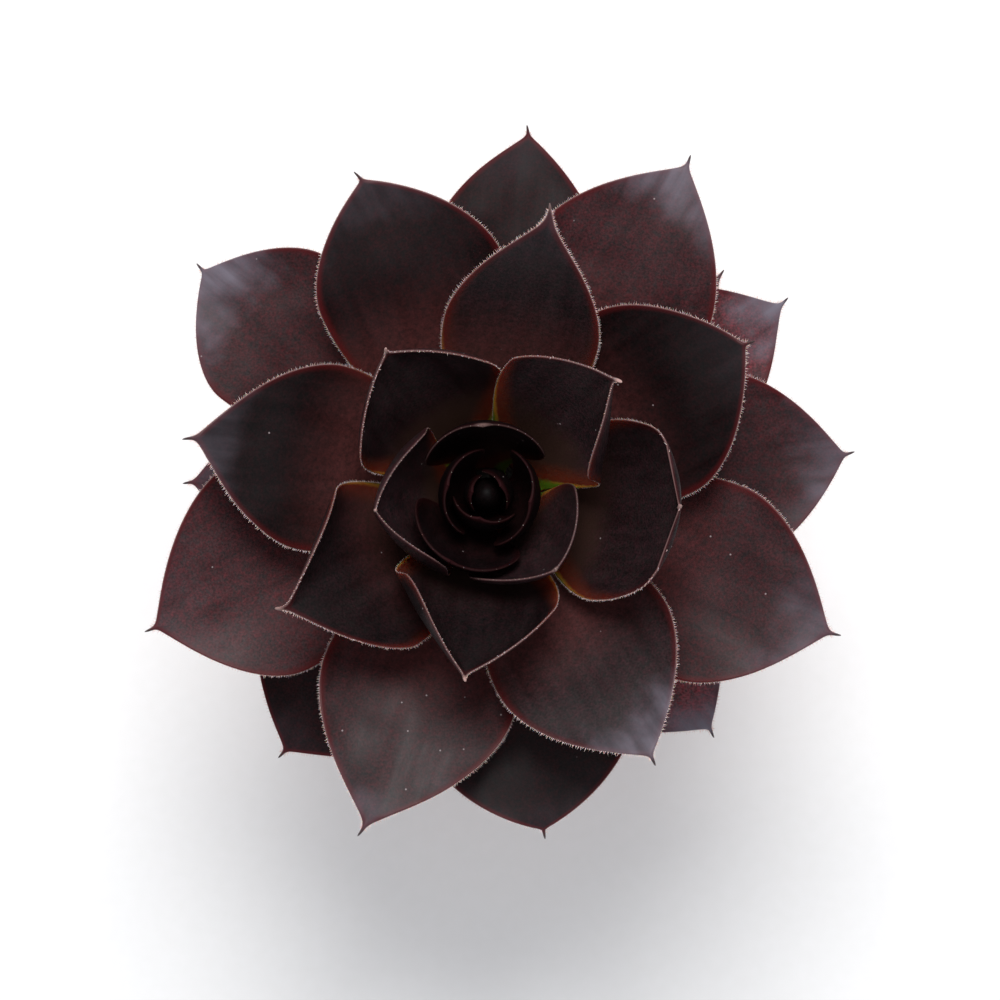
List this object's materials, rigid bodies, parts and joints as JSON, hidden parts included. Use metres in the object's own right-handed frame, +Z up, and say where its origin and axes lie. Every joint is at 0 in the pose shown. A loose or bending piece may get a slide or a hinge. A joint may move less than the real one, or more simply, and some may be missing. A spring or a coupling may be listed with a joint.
{
  "type": "potted aeonium",
  "caption": "Succulent with a wide rosette of dark, pointed, fleshy leaves on a short bare stem, growing in soil in a plain round clay pot.",
  "frame": {"origin": "middle of the pot's foot, on the surface it stands on, below the middle of the rosette's spread", "axes": "+Z up along the pot's axis; seen from straight above, +X points right and +Y points up the picture"},
  "size_m": [0.1308, 0.1334, 0.1618],
  "materials": {
    "leaf": "satin",
    "stem": "matte",
    "soil": "matte",
    "pot": "matte"
  },
  "bodies": {
    "root": {"leaf_01": "leaf", "leaf_02": "leaf", "leaf_03": "leaf", "leaf_04": "leaf", "leaf_05": "leaf", "leaf_06": "leaf", "leaf_07": "leaf", "leaf_08": "leaf", "leaf_09": "leaf", "leaf_10": "leaf", "leaf_11": "leaf", "leaf_12": "leaf", "leaf_13": "leaf", "leaf_14": "leaf", "leaf_15": "leaf", "leaf_16": "leaf", "leaf_17": "leaf", "leaf_18": "leaf", "leaf_19": "leaf", "leaf_20": "leaf", "leaf_21": "leaf", "leaf_22": "leaf", "leaf_23": "leaf", "leaf_24": "leaf", "leaf_25": "leaf", "leaf_26": "leaf", "leaf_27": "leaf", "leaf_28": "leaf", "leaf_29": "leaf", "leaf_30": "leaf", "leaf_31": "leaf", "leaf_32": "leaf", "growing_tip": "leaf", "stem": "stem", "soil": "soil", "pot": "pot"}
  },
  "joints": []
}
